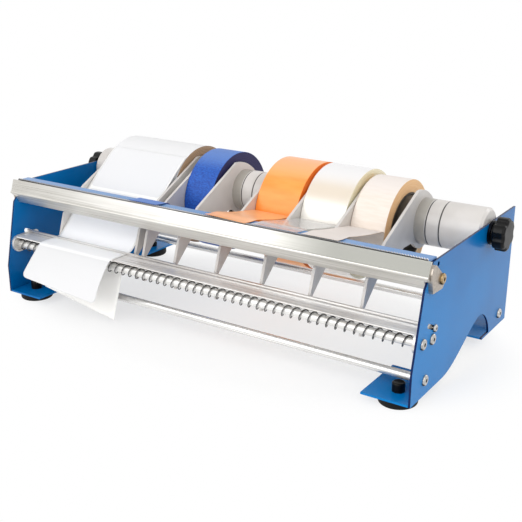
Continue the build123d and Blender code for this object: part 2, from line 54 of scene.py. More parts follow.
axle = {"y": (170.0 - frontDepth) * mm, "z": 122.5 * mm}
print("frame loaded")


# Camera, at the photograph's angle
cameraView = {
    "place": (0.5166, -0.7429, 0.3779), "yaw": 33.62, "pitch": 19.28, "roll": 0.09,
    "lens": 61.03, "sensor": 36, "near": 0.02, "far": 80,
}


def placeCamera(values):
    data = bpy.data.cameras.new("camera")
    data.lens = values["lens"]
    data.sensor_width = values["sensor"]
    data.clip_start = values["near"]
    data.clip_end = values["far"]
    camera = bpy.data.objects.new("camera", data)
    scene.collection.objects.link(camera)
    turn = Matrix.Rotation(radians(values["yaw"]), 4, "Z")
    tilt = Matrix.Rotation(radians(90 - values["pitch"]), 4, "X")
    roll = Matrix.Rotation(radians(values["roll"]), 4, "Z")
    camera.matrix_world = Matrix.Translation(values["place"]) @ turn @ tilt @ roll
    scene.camera = camera


placeCamera(cameraView)
print("camera placed")


# Shader maths on sockets, written as expressions
class Shade:
    def __init__(self, tree, socket=None):
        self.tree = tree
        self.socket = socket

    def add(self, kind, settings, inputs, output=0):
        # One node: its settings first, then the values or links of its sockets
        node = self.tree.nodes.new(kind)
        for name, value in settings.items():
            setattr(node, name, value)
        for name, value in inputs.items():
            if isinstance(value, Shade):
                self.tree.links.new(value.socket, node.inputs[name])
            else:
                node.inputs[name].default_value = value
        return Shade(self.tree, node.outputs[output])

    def maths(self, operation, *values):
        return self.add("ShaderNodeMath", {"operation": operation}, dict(enumerate(values)))

    def __add__(self, other):
        return self.maths("ADD", self, other)

    def __radd__(self, other):
        return self.maths("ADD", other, self)

    def __sub__(self, other):
        return self.maths("SUBTRACT", self, other)

    def __rsub__(self, other):
        return self.maths("SUBTRACT", other, self)

    def __mul__(self, other):
        return self.maths("MULTIPLY", self, other)

    def __rmul__(self, other):
        return self.maths("MULTIPLY", other, self)

    def __pow__(self, other):
        return self.maths("POWER", self, other)

    def __abs__(self):
        return self.maths("ABSOLUTE", self)

    def sine(self):
        return self.maths("SINE", self)

    def most(self, other):
        return self.maths("MAXIMUM", self, other)

    def rise(self, low, high):
        # 0 below low, 1 above high, and smooth between them
        steps = {"Value": self, "From Min": low, "From Max": high}
        return self.add("ShaderNodeMapRange", {"interpolation_type": "SMOOTHSTEP"}, steps)

    def between(self, low, high):
        # This factor taken from low to high, for numbers
        return self * (high - low) + low

    def colours(self, low, high):
        # This factor taken from one colour to another
        return self.add("ShaderNodeMix", {"data_type": "RGBA"}, {"Factor": self, 6: low, 7: high}, 2)

    def part(self, axis):
        return self.add("ShaderNodeSeparateXYZ", {}, {0: self}, "XYZ".index(axis))

    def stretched(self, x, y, z):
        return self.add("ShaderNodeVectorMath", {"operation": "MULTIPLY"}, {0: self, 1: (x, y, z)})

    def noise(self, scale, detail=2, roughness=0.5):
        inputs = {"Vector": self, "Scale": scale, "Detail": detail, "Roughness": roughness}
        return self.add("ShaderNodeTexNoise", {}, inputs)

    def bump(self, strength, distance):
        return self.add("ShaderNodeBump", {}, {"Height": self, "Strength": strength, "Distance": distance})


def tint(red, green, blue):
    # A colour as it is seen on a screen, 0 to 255, as the shader takes it
    level = np.array([red, green, blue]) / 255
    line = np.where(level <= 0.04045, level / 12.92, ((level + 0.055) / 1.055) ** 2.4)
    return (*line.tolist(), 1)


def newFinish(name, fixed, build):
    # A material: fixed values go straight on the shader, and build returns what varies
    material = bpy.data.materials.new(name)
    material.use_nodes = True
    tree = material.node_tree
    shader = tree.nodes["Principled BSDF"]
    for socket, value in fixed.items():
        shader.inputs[socket].default_value = value
    start = Shade(tree)
    place = start.add("ShaderNodeTexCoord", {}, {}, "Object")
    for socket, value in build(place).items():
        tree.links.new(value.socket, shader.inputs[socket])
    return material


def aim(place, axis):
    # The surface's direction along an axis, -1 to 1
    return place.add("ShaderNodeNewGeometry", {}, {}, "Normal").part(axis)


facing = (0.3, 0.7)  # how far along X a direction points where a rim turns into a side


def rimShare(place):
    # 1 where the surface faces across X, as a rim or a cut edge does, and 0 on the sides
    return 1 - abs(aim(place, "X")).rise(*facing)


# Here and below, a pattern's value is its scale, a pair is a range, and "bump" is the
# strength and depth of a pattern. "rough" and "shine" are the roughness and the reflection.
contrast = (0.3, 0.7)  # the range of a noise over which its two colours mix

# Paint: darker on the cut edges of the side plates, which start at the X in
# "plate"
paintValues = {
    "deep": tint(0, 98, 164), "light": tint(0, 120, 190), "edge": tint(0, 28, 76),
    "plate": (0.2476, 0.2479), "patch": 5.0, "peel": 700.0, "bump": (0.12, 0.0002),
    "rough": (0.18, 0.3), "shine": 0.15,
}
# The tape table: the plates' paint made lighter, as a painted reflection of the white sky on its top
tableSheenPaintValues = {
    **paintValues,
    "deep": tint(92, 136, 190), "light": tint(124, 160, 206), "edge": tint(40, 90, 160), "patch": 6.0,
}


def paintFinish(name, values):
    def build(place):
        patch = place.noise(values["patch"], 3)
        peel = place.noise(values["peel"], 1)
        broad = patch.rise(*contrast).colours(values["deep"], values["light"])
        cut = rimShare(place) * abs(place.part("X")).rise(*values["plate"])
        return {
            "Base Color": cut.colours(broad, values["edge"]),
            "Roughness": patch.between(*values["rough"]),
            "Normal": peel.bump(*values["bump"]),
        }
    return newFinish(name, {"Specular IOR Level": values["shine"]}, build)


# Metals: fine lines along X. Small heads are given painted shade, a dark colour on faces that
# point down, and a painted shadow colour for what lies between the side plates. A flat whose
# direction has the facet's Z turns to the colour "far" over the stretch of X in "fade", as
# painted shade against the lamps' reflection.
aluminiumValues = {
    "dark": tint(190, 187, 180), "light": tint(234, 232, 227), "rough": (0.2, 0.4), "lines": 900.0,
    "metal": 0.9, "facet": 0.32, "fade": (0.03, 0.17), "far": tint(126, 126, 121),
}
stainlessValues = {
    "dark": tint(204, 199, 194), "light": tint(250, 249, 247), "rough": (0.2, 0.4), "lines": 500.0,
    "metal": 0.3,
}
stripValues = {
    "dark": tint(205, 202, 198), "light": tint(246, 245, 243), "rough": (0.3, 0.45), "lines": 1300.0,
}
cheekValues = {
    "dark": tint(205, 200, 194), "light": tint(246, 244, 241), "rough": (0.3, 0.45), "lines": 700.0,
    "metal": 0.7,
}
rodValues = {
    "dark": tint(200, 199, 197), "light": tint(246, 245, 243), "rough": (0.16, 0.34), "lines": 1100.0,
    "metal": 0.7,
}
springRodValues = {
    "dark": tint(214, 212, 208), "light": tint(246, 245, 243), "rough": (0.3, 0.5), "lines": 1100.0,
    "metal": 0.5,
}
bladeValues = {
    "dark": tint(116, 116, 120), "light": tint(196, 196, 200), "rough": (0.2, 0.35), "lines": 900.0,
}
springValues = {"dark": tint(54, 54, 55), "light": tint(150, 149, 148), "rough": (0.14, 0.28), "lines": 500.0}
screwValues = {
    "dark": tint(166, 164, 160), "light": tint(212, 210, 206), "rough": (0.14, 0.3), "lines": 600.0,
    "under": tint(44, 46, 52), "paintedShadowInside": tint(30, 42, 66), "plate": (0.2474, 0.2476),
}
lugValues = {"dark": tint(150, 140, 130), "light": tint(196, 187, 177), "rough": (0.3, 0.45), "lines": 500.0}
lugScrewValues = {
    "dark": tint(110, 88, 58), "light": tint(214, 186, 140), "rough": (0.16, 0.32), "lines": 500.0,
    "under": tint(24, 18, 12),
}
washerValues = {"dark": tint(14, 16, 22), "light": tint(34, 36, 44), "rough": (0.25, 0.4), "lines": 600.0}
drawn = {
    "along": 6, "patch": (8, 30, 30), "share": 0.55, "below": (0.1, 0.5), "flat": (0.06, 0.12),
    "bump": (0.14, 0.0001),
}


def drawnMetal(name, values):
    def build(place):
        line = place.stretched(drawn["along"], values["lines"], values["lines"]).noise(1, 3, 0.6)
        patch = place.stretched(*drawn["patch"]).noise(1, 3)
        tone = line * drawn["share"] + patch * (1 - drawn["share"])
        broad = tone.rise(*contrast).colours(values["dark"], values["light"])
        # Painted shade: a dark colour on faces that point down
        if "under" in values:
            broad = (0 - aim(place, "Z")).rise(*drawn["below"]).colours(broad, values["under"])
        # Painted shadow: a dark colour on what lies between the side plates
        if "paintedShadowInside" in values:
            broad = abs(place.part("X")).rise(*values["plate"]).colours(values["paintedShadowInside"], broad)
        # Painted shade: the flat at the facet's Z darkens along X, against the lamps' reflection
        if "facet" in values:
            flat = 1 - abs(aim(place, "Z") - values["facet"]).rise(*drawn["flat"])
            broad = (flat * place.part("X").rise(*values["fade"])).colours(broad, values["far"])
        return {
            "Base Color": broad,
            "Roughness": (line * 0.5 + patch * 0.5).between(*values["rough"]),
            "Normal": line.bump(*drawn["bump"]),
        }
    return newFinish(name, {"Metallic": values.get("metal", 1.0)}, build)


# Grey plastic: painted shade, a dark colour in the grooves where sleeves meet, just under their
# radius round the axle, but not on the shoulders at the ends. A divider's boss is painted darker
# than its plate, as painted shade.
sleeveValues = {
    "dark": tint(198, 193, 188), "light": tint(220, 216, 212), "grooveShade": tint(60, 60, 58),
    "flow": 14, "grain": 1600.0, "bump": (0.1, 0.0001), "rough": (0.26, 0.4), "coat": 0.1,
    "grooveRadius": (0.0228, 0.0233), "shoulder": (0.2435, 0.2442),
}
dividerValues = {**sleeveValues, "boss": tint(164, 159, 151), "bossRadius": (0.0245, 0.025)}


def mouldedGrey(name, values):
    def build(place):
        flow = place.noise(values["flow"], 3)
        grain = place.noise(values["grain"], 1)
        y = place.part("Y") - axle["y"]
        z = place.part("Z") - axle["z"]
        radius = (y * y + z * z) ** 0.5
        # Painted shade: dark in the grooves between sleeves
        inGroove = 1 - radius.rise(*values["grooveRadius"])
        grooveShade = inGroove * (1 - abs(place.part("X")).rise(*values["shoulder"]))
        broad = flow.rise(*contrast).colours(values["dark"], values["light"])
        # Painted shade: the divider's boss darker than its plate
        if "boss" in values:
            boss = rimShare(place) * (1 - radius.rise(*values["bossRadius"]))
            broad = boss.colours(broad, values["boss"])
        return {
            "Base Color": grooveShade.colours(broad, values["grooveShade"]),
            "Roughness": flow.between(*values["rough"]),
            "Normal": grain.bump(*values["bump"]),
        }
    return newFinish(name, {"Coat Weight": values["coat"]}, build)


# Black plastic and rubber: worn lighter in patches
wearValues = {"wear": 60, "contrast": (0.35, 0.75), "bump": (0.2, 0.0001), "shine": 0.2}
knobValues = {"dark": tint(3, 3, 4), "light": tint(11, 10, 10), "grain": 1200.0, "rough": (0.24, 0.42)}
rubberValues = {"dark": tint(8, 8, 8), "light": tint(24, 24, 25), "grain": 700.0, "rough": (0.5, 0.7)}
darkSleeveValues = {
    "dark": tint(84, 78, 69), "light": tint(122, 114, 104), "grain": 500.0, "rough": (0.5, 0.7),
}


def mouldedBlack(name, values):
    def build(place):
        wear = place.noise(wearValues["wear"], 3)
        grain = place.noise(values["grain"], 2)
        return {
            "Base Color": wear.rise(*wearValues["contrast"]).colours(values["dark"], values["light"]),
            "Roughness": wear.between(*values["rough"]),
            "Normal": grain.bump(*wearValues["bump"]),
        }
    return newFinish(name, {"Specular IOR Level": wearValues["shine"]}, build)


# Wound board: fibres coloured a dark grey-brown, as painted shade for the bores, and faint bands
# round it that wave by "wobble"
boardValues = {
    "dark": tint(64, 60, 54), "light": tint(112, 104, 92), "bands": 420, "wobble": (30, 2),
    "fibre": (90, 500, 500), "contrast": (0.3, 0.75), "bump": (0.3, 0.0002), "rough": (0.7, 0.9),
}


def boardFinish(values):
    def build(place):
        fibre = place.stretched(*values["fibre"]).noise(1, 3, 0.7)
        scale, amount = values["wobble"]
        band = (place.part("X") * values["bands"] + place.noise(scale, 2) * amount).sine()
        tone = (fibre * 0.8 + band * 0.1 + 0.1).rise(*values["contrast"])
        return {
            "Base Color": tone.colours(values["dark"], values["light"]),
            "Roughness": fibre.between(*values["rough"]),
            "Normal": fibre.bump(*values["bump"]),
        }
    return newFinish("shadedCoreBoard", {}, build)


# Wound tape: rings on the sides by the radius about the rolls' axis, creases along X
# elsewhere. The face turns paler where it points up, a painted sheen. On the clear tape the
# face's colour goes by the Z of its direction, as painted reflection, darkest at one Z.
# "film" is how opaque one layer is.
rollAxis = {"y": axle["y"], "z": 108.3 * mm}
blueTapeValues = {
    "face": (tint(0, 60, 152), tint(26, 98, 194)), "top": tint(98, 136, 202),
    "side": (tint(22, 22, 70), tint(48, 46, 98)), "rough": (0.5, 0.75), "depth": 0.5, "coat": 0.0,
    "crease": 700.0, "along": 380.0, "ring": 5200.0, "band": 900.0,
}
tanTapeValues = {
    "face": (tint(234, 222, 210), tint(240, 230, 220)), "top": tint(236, 228, 224),
    "side": (tint(240, 190, 134), tint(250, 210, 162)), "rough": (0.55, 0.75), "depth": 0.08, "coat": 0.0,
    "crease": 320.0, "along": 60.0, "ring": 4800.0, "band": 900.0, "film": 0.88,
}
orangeTapeValues = {
    "face": (tint(250, 146, 50), tint(255, 166, 76)), "top": tint(251, 183, 128),
    "side": (tint(248, 112, 22), tint(255, 136, 44)), "rough": (0.3, 0.45), "depth": 0.12, "coat": 0.1,
    "crease": 60.0, "along": 14.0, "ring": 4200.0, "band": 900.0,
}
clearTapeValues = {
    "face": (tint(226, 214, 197), tint(246, 243, 236)), "top": tint(232, 231, 234),
    "side": (tint(226, 216, 176), tint(244, 238, 212)), "rough": (0.14, 0.28), "depth": 0.06, "coat": 0.3,
    "crease": 40.0, "along": 10.0, "ring": 4200.0, "band": 900.0, "paintedReflection": 0.72, "film": 0.45,
}
labelRollValues = {
    "face": (tint(228, 228, 229), tint(232, 232, 232)), "top": tint(230, 230, 231),
    "side": (tint(150, 118, 90), tint(196, 164, 132)), "rough": (0.4, 0.55), "depth": 0.04, "coat": 0.0,
    "crease": 200.0, "along": 60.0, "ring": 3600.0, "band": 700.0,
}
wound = {
    "wobble": (25, 5), "share": 0.35, "contrast": (0.2, 0.8), "side": (0.75, 0.9),
    "up": (0.72, 0.98), "top": 0.75, "paintedReflection": (0.04, 0.3), "depth": 0.0003, "coatRough": 0.12,
}


def woundFinish(name, values, opacity=1.0):
    def build(place):
        y = place.part("Y") - rollAxis["y"]
        z = place.part("Z") - rollAxis["z"]
        radius = (y * y + z * z) ** 0.5
        scale, amount = wound["wobble"]
        ring = (radius * values["ring"] + place.noise(scale, 2) * amount).sine() * 0.5 + 0.5
        bandInputs = {"W": radius * values["band"], "Scale": 1.0, "Detail": 2.0}
        band = place.add("ShaderNodeTexNoise", {"noise_dimensions": "1D"}, bandInputs)
        crease = place.stretched(values["along"], values["crease"], values["crease"]).noise(1, 3, 0.6)
        side = abs(aim(place, "X")).rise(*wound["side"])
        up = aim(place, "Z")
        # Painted reflection: on the clear tape the face's colour goes by the Z of its direction
        tone = abs(up - values["paintedReflection"]).rise(*wound["paintedReflection"]) if "paintedReflection" in values else crease.rise(*contrast)
        # Painted sheen: a paler colour where the face points up
        face = (up.rise(*wound["up"]) * wound["top"]).colours(tone.colours(*values["face"]), values["top"])
        layers = ring * wound["share"] + band * (1 - wound["share"])
        edge = layers.rise(*wound["contrast"]).colours(*values["side"])
        height = side * (ring * 0.5 + band) + (1 - side) * crease
        return {
            "Base Color": side.colours(face, edge),
            "Roughness": (side * 0.4 + crease * 0.6).between(*values["rough"]),
            "Normal": height.bump(values["depth"], wound["depth"]),
        }
    fixed = {"Coat Weight": values["coat"], "Coat Roughness": wound["coatRough"], "Alpha": opacity}
    return newFinish(name, fixed, build)


# The label that has been peeled off: paper painted lighter upward, over the Z in "bend", as
# painted light on its flat part in the cutter bar's shade and painted shade on its hanging part
paperGrain = {"fibre": 900, "height": 0.06}
loosePaperValues = {
    "low": tint(217, 217, 218), "high": tint(250, 250, 250), "bend": (0.0702, 0.0722),
    "soft": 18, "bump": (0.2, 0.0001), "rough": (0.4, 0.55),
}


def loosePaper(name, values):
    def build(place):
        fibre = place.noise(paperGrain["fibre"], 2)
        return {
            # Painted light and shade: lighter above the bend, darker below it
            "Base Color": place.part("Z").rise(*values["bend"]).colours(values["low"], values["high"]),
            "Roughness": place.noise(values["soft"], 2).between(*values["rough"]),
            "Normal": (fibre * paperGrain["height"]).bump(*values["bump"]),
        }
    return newFinish(name, {}, build)


# The web: its UV holds metres across and along it. Labels lie on it at an even pitch, up to
# where they peel off. They are painted lighter over the stretch that the cutter bar hides, as
# painted light on the web below the bar.
webPaperValues = {
    "label": (tint(229, 229, 230), tint(250, 250, 251)), "paintedLightAlong": (0.064, 0.075),
    "liner": tint(250, 249, 246), "rough": (0.35, 0.5), "rise": 0.5, "bump": (0.5, 0.0002),
    "webWidth": 0.108, "width": 0.104, "length": 0.0745, "corner": 0.006, "edge": (0.0057, 0.0061),
    "first": 0.062, "pitch": 0.0775, "peel": (0.139, 0.1392),
}


def webPaper(name, values):
    # A label is what lies within the corner's radius of the box between its corners' middles
    def build(place):
        uv = place.add("ShaderNodeTexCoord", {}, {}, "UV")
        across, along = uv.part("X"), uv.part("Y")
        step = place.maths("WRAP", along - values["first"], values["pitch"], 0.0)
        outX = abs(across - values["webWidth"] / 2) - (values["width"] / 2 - values["corner"])
        outY = abs(step - values["pitch"] / 2) - (values["length"] / 2 - values["corner"])
        distance = (outX.most(0) ** 2 + outY.most(0) ** 2) ** 0.5
        onLabel = (1 - distance.rise(*values["edge"])) * (1 - along.rise(*values["peel"]))
        # Painted light: labels lighter past the stretch the cutter bar hides
        label = along.rise(*values["paintedLightAlong"]).colours(*values["label"])
        fibre = place.noise(paperGrain["fibre"], 2)
        return {
            "Base Color": onLabel.colours(values["liner"], label),
            "Roughness": onLabel.between(*values["rough"]),
            "Normal": (onLabel * values["rise"] + fibre * paperGrain["height"]).bump(*values["bump"]),
        }
    return newFinish(name, {}, build)


finishes = {
    "blue_paint": paintFinish("bluePaint", paintValues),
    "tableSheenPaint": paintFinish("tableSheenPaint", tableSheenPaintValues),
    "bare_aluminium": drawnMetal("bareAluminium", aluminiumValues),
    "rodSteel": drawnMetal("rodSteel", rodValues),
    "blade_steel": drawnMetal("bladeSteel", bladeValues),
    "springWire": drawnMetal("springWire", springValues),
    "springRod": drawnMetal("springRod", springRodValues),
    "stripSteel": drawnMetal("stripSteel", stripValues),
    "cheekSteel": drawnMetal("cheekSteel", cheekValues),
    "lugPlate": drawnMetal("lugPlate", lugValues),
    "blackSteel": drawnMetal("blackSteel", washerValues),
    "darkSleeve": mouldedBlack("darkSleeve", darkSleeveValues),
    "nickel": drawnMetal("nickel", screwValues),
    "brassPlate": drawnMetal("brassPlate", lugScrewValues),
    "stainless": drawnMetal("stainless", stainlessValues),
    "black_rubber": mouldedBlack("blackRubber", rubberValues),
    "black_plastic": mouldedBlack("blackPlastic", knobValues),
    "grey_plastic": mouldedGrey("greyPlastic", sleeveValues),
    "dividerPlastic": mouldedGrey("dividerPlastic", dividerValues),
    "core_board": boardFinish(boardValues),
    "blue_tape": woundFinish("blueTape", blueTapeValues),
    "orange_tape": woundFinish("orangeTape", orangeTapeValues),
    "clear_tape": woundFinish("clearTape", clearTapeValues),
    "clearFilm": woundFinish("clearFilm", clearTapeValues, clearTapeValues["film"]),
    "tan_tape": woundFinish("tanTape", tanTapeValues),
    "tanFilm": woundFinish("tanFilm", tanTapeValues, tanTapeValues["film"]),
    "label_paper": woundFinish("labelRoll", labelRollValues),
    "labelWeb": webPaper("labelWeb", webPaperValues),
    "plainPaper": loosePaper("plainPaper", loosePaperValues),
}
# The finish of a node, where it isn't its slot's
finishOf = {
    "tape_table": "tableSheenPaint", "spring_rod": "springRod", "guide_rod": "rodSteel",
    "lower_front_rod": "rodSteel", "rear_rod": "rodSteel", "tension_spring": "springWire",
    "lug_screws": "brassPlate", "left_bar_lug": "lugPlate", "right_bar_lug": "lugPlate",
    "left_washer": "blackSteel", "right_washer": "blackSteel", "hold_down_strip": "stripSteel",
    "left_peel_cheek": "cheekSteel", "right_peel_cheek": "cheekSteel", "lane_hub_6": "darkSleeve",
    **{f"divider_{number}": "dividerPlastic" for number in range(1, 9)},
}
slotOf = {subpart["node"]: subpart["material_slot"] for subpart in frame["record"]["subparts"]}


def dress(piece, finish):
    piece.data.materials.clear()
    piece.data.materials.append(finishes[finish])


for node, piece in frame["nodes"].items():
    dress(piece, finishOf.get(node, slotOf[node]))
print("finishes made")


# Shapes from grids of points
def gridPiece(name, points, loopRows=False, loopColumns=False, uv=None):
    # Quads over a grid of points, closed round either way where it loops. A closed
    # shape's faces are turned so that its signed volume is positive.
    rows, columns = points.shape[:2]
    index = np.arange(rows * columns).reshape(rows, columns)
    below = np.roll(index, -1, 0)
    quads = np.stack([index, np.roll(index, -1, 1), np.roll(below, -1, 1), below], -1)
    quads = quads[: rows - (not loopRows), : columns - (not loopColumns)].reshape(-1, 4)
    flat = points.reshape(-1, 3)
    if loopColumns:
        a, b, c, d = (flat[quads[:, corner]] for corner in range(4))
        if np.sum(np.cross(b - a, c - a) * a) + np.sum(np.cross(c - a, d - a) * a) < 0:
            quads = quads[:, ::-1]
    mesh = bpy.data.meshes.new(name)
    mesh.from_pydata(flat.tolist(), [], quads.tolist())
    if uv is not None:
        layer = mesh.uv_layers.new(name="UVMap")
        layer.data.foreach_set("uv", uv.reshape(-1, 2)[quads.ravel()].ravel())
    mesh.shade_smooth()
    piece = bpy.data.objects.new(name, mesh)
    scene.collection.objects.link(piece)
    return piece


def joinDoubles(piece, distance=1e-6):
    # Points that lie in one place, where a section's runs meet, become one
    shape = bmesh.new()
    shape.from_mesh(piece.data)
    bmesh.ops.remove_doubles(shape, verts=shape.verts, dist=distance)
    shape.to_mesh(piece.data)
    shape.free()


def bendPath(corners, count, steps=48):
    # Quadratic B-spline from the first corner to the last, at even steps. Each run is
    # (1 - t)^2 a + 2 t (1 - t) b + t^2 c, with b a corner and a and c the middles beside it.
    corners = np.array(corners, float)
    middles = (corners[:-1] + corners[1:]) / 2
    middles[0], middles[-1] = corners[0], corners[-1]
    t = np.linspace(0, 1, steps)[:, None, None]
    runs = (1 - t) ** 2 * middles[:-1] + 2 * t * (1 - t) * corners[1:-1] + t ** 2 * middles[1:]
    line = runs.transpose(1, 0, 2).reshape(-1, 2)
    reach = np.append(0, np.cumsum(np.hypot(*np.diff(line, axis=0).T)))
    even = np.linspace(0, reach[-1], count)
    return np.interp(even, reach, line[:, 0]), np.interp(even, reach, line[:, 1]), even


def thicken(piece, thickness):
    wall = piece.modifiers.new("thickness", "SOLIDIFY")
    wall.thickness = thickness
    wall.offset = 0
    return piece


# Rolls, in mm: a ring section with rounded corners, whose sides ripple with the layers. The
# ripple fades out over "fade" at either end of a side.
rolls = {
    "label": {
        "left": -206.1, "right": -98, "radius": 57, "corner": 0.4, "ripple": 0.12, "pitch": 2.3,
        "finish": "label_paper",
    },
    "blue": {
        "left": -82.1, "right": -46, "radius": 56, "corner": 0.5, "ripple": 0.1, "pitch": 1.9,
        "finish": "blue_tape",
    },
    "orange": {
        "left": 13.9, "right": 63.8, "radius": 58.5, "corner": 0.4, "ripple": 0.08, "pitch": 2.1,
        "finish": "orange_tape",
    },
    "clear": {
        "left": 69.4, "right": 119.3, "radius": 58.5, "corner": 0.4, "ripple": 0.06, "pitch": 2.6,
        "finish": "clear_tape",
    },
    "tan": {
        "left": 124.4, "right": 162.2, "radius": 53.5, "corner": 0.6, "ripple": 0.12, "pitch": 1.7,
        "finish": "tan_tape",
    },
}
winding = {
    "bore": 40.0, "fade": 1.5, "beat": 5.1,
    "cornerPoints": 5, "sidePoints": 90, "facePoints": 16, "turnPoints": 160,
}


def windRoll(name, values):
    # x and r run round the ring's section: face, side, bore, side. On a side, x draws in by
    # ripple * (2 + sin(2 pi r / pitch) + sin(beat r)) / 2. A rounded corner adds its radius
    # times the sine or cosine of an angle. Each point is turned about the rolls' axis.
    left, right, rim, corner = values["left"], values["right"], values["radius"], values["corner"]
    bore = winding["bore"]
    quarter = np.linspace(0, pi / 2, winding["cornerPoints"])
    rising, falling = corner * np.sin(quarter), corner * np.cos(quarter)
    down = np.linspace(rim - corner, bore + corner, winding["sidePoints"])
    fade = np.clip(np.minimum(down - down[-1], down[0] - down) / winding["fade"], 0, 1)
    layers = 2 + np.sin(2 * pi * down / values["pitch"]) + np.sin(winding["beat"] * down)
    inward = fade * values["ripple"] * layers / 2
    along = np.linspace(left + corner, right - corner, winding["facePoints"])
    x = np.concatenate([
        along, right - corner + rising, right - inward, right - corner + falling,
        along[::-1], left + corner - rising, (left + inward)[::-1], left + corner - falling,
    ])
    r = np.concatenate([
        np.full_like(along, rim), rim - corner + falling, down, bore + corner - rising,
        np.full_like(along, bore), bore + corner - falling, down[::-1], rim - corner + rising,
    ])
    turn = np.linspace(0, 2 * pi, winding["turnPoints"], endpoint=False)[:, None]
    points = np.stack(np.broadcast_arrays(
        x * mm,
        rollAxis["y"] + r * mm * np.sin(turn),
        rollAxis["z"] + r * mm * np.cos(turn),
    ), -1)
    piece = gridPiece(name + "Winding", points, True, True)
    joinDoubles(piece)
    dress(piece, values["finish"])
    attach(piece, name + "_roll_body")
    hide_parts(name + "_roll")


for name, values in rolls.items():
    windRoll(name, values)
print("rolls wound")


# Tape ends, in mm: off the roll's front, over the table to the blade, with a toothed cut.
# The corners of a path are pairs of Y, from the front foot of the side plates, and Z.
tapeEnds = {
    "blue": {
        "left": -82.1, "right": -46, "skew": 0, "finish": "blue_tape", "thickness": 0.25,
        "corners": [
            (139.5, 61.6), (136, 64), (90, 98.8), (47, 131.6), (42.3, 135.7), (33, 136.1),
            (25.5, 137.2), (23.2, 137.5),
        ],
    },
    "orange": {
        "left": 13.9, "right": 63.8, "skew": -4.5, "finish": "orange_tape", "thickness": 0.25,
        "corners": [
            (111, 106), (111.1, 116), (112, 121.6), (104, 122.9), (74, 127.6), (47, 134.6),
            (42.3, 135.6), (33, 136), (25.5, 137.2), (23.2, 137.5),
        ],
    },
    "clear": {
        "left": 69.4, "right": 119.3, "skew": 0, "finish": "clearFilm", "thickness": 0.2,
        "corners": [
            (111, 106), (111.1, 116), (112, 121.6), (104, 122.9), (74, 128.4), (47, 134.6),
            (42.3, 135.6), (33, 136), (25.5, 137.2), (23.4, 137.4),
        ],
    },
    "tan": {
        "left": 124.4, "right": 162.2, "skew": 0, "finish": "tanFilm", "thickness": 0.25,
        "corners": [
            (116.2, 106), (116.3, 116), (117.2, 121.4), (108, 123), (76, 128.2), (47, 134.6),
            (42.3, 135.6), (33, 136), (25.5, 137.2), (23.2, 137.5),
        ],
    },
}
tapeCut = {"pitch": 2.5, "depth": 0.65, "toothPoints": 6, "toothReach": 2, "skewReach": 45, "pathPoints": 110}


def tapeEnd(name, values):
    # A strip along a bent path, whose cut is a triangle wave along X with the blade's pitch.
    # Its last part leans by skew over the width, by the square of how far it is along.
    y, z, reach = bendPath(values["corners"], tapeCut["pathPoints"])
    width = values["right"] - values["left"]
    across = np.linspace(0, width, int(width / tapeCut["pitch"]) * tapeCut["toothPoints"] + 1)
    left = (reach[-1] - reach)[:, None]
    atSkew = np.clip(1 - left / tapeCut["skewReach"], 0, 1) ** 2
    atTeeth = np.clip(1 - left / tapeCut["toothReach"], 0, 1)
    wave = 2 * np.abs((across / tapeCut["pitch"] + 0.5) % 1 - 0.5)
    lean = atSkew * values["skew"] * (across / width - 0.5)
    points = np.stack(np.broadcast_arrays(
        values["left"] + across,
        y[:, None] - frontDepth + lean + atTeeth * wave * tapeCut["depth"],
        z[:, None],
    ), -1) * mm
    piece = thicken(gridPiece(name + "TapeEnd", points), values["thickness"] * mm)
    dress(piece, values["finish"])
    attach(piece, "axle_assembly")
    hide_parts(name + "_tape_end")


for name, values in tapeEnds.items():
    tapeEnd(name, values)
print("tape ends laid")


# Label web, in mm: from the roll under the strip, round the peel edge and down behind it.
web = {
    "left": -206, "right": -98, "thickness": 0.12, "slant": 15, "pathPoints": 260, "acrossPoints": 25,
    "blend": [(-152, 38.5, 72.6), (-152, 131, 152)],
    "corners": [
        (140, 158.1), (131.6, 152.9), (96, 123.2), (62, 94.4), (48, 79), (42, 73.6), (36, 72.45), (24, 72.45),
        (12.6, 72.45), (10.8, 72.4), (10.8, 70.4), (12.6, 70.35), (25, 70.3), (25.8, 68), (25.1, 55),
        (18.8, 34.4), (12.2, 17.4), (8.7, 5.2),
    ],
}
# The peeled label, in mm: its left edge and its right edge bend apart
label = {
    "left": -204.5, "right": -99.5, "corner": 6.5, "thickness": 0.1, "pathPoints": 150, "acrossPoints": 61,
    "leftEdge": [
        (31, 72.6), (24, 72.6), (13, 72.75), (9, 72.2), (3, 66.4), (-4, 59.6), (-10, 53.4),
        (-15.5, 47.8), (-20.5, 42),
    ],
    "rightEdge": [
        (31, 72.6), (24, 72.6), (13, 72.75), (9, 72), (2, 65.4), (-4.5, 57), (-10.5, 48.3),
        (-14.5, 39.5), (-17.3, 31.5),
    ],
}


def layWeb(values):
    # Across X and along a bent path, whose cut end rises by slant from right to left
    y, z, reach = bendPath(values["corners"], values["pathPoints"])
    across = np.linspace(0, values["right"] - values["left"], values["acrossPoints"])
    cut = reach[-1] - values["slant"] * (1 - across / across[-1])
    along = np.linspace(0, 1, values["pathPoints"])[:, None] * cut
    points = np.stack(np.broadcast_arrays(
        values["left"] + across,
        np.interp(along, reach, y) - frontDepth,
        np.interp(along, reach, z),
    ), -1) * mm
    uv = np.stack(np.broadcast_arrays(across, along), -1) * mm
    piece = thicken(gridPiece("labelWeb", points, uv=uv), values["thickness"] * mm)
    dress(piece, "labelWeb")
    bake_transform(piece)
    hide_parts("label_web", "backing_paper")
    float(across[-1] * cut.mean()) * mm ** 2


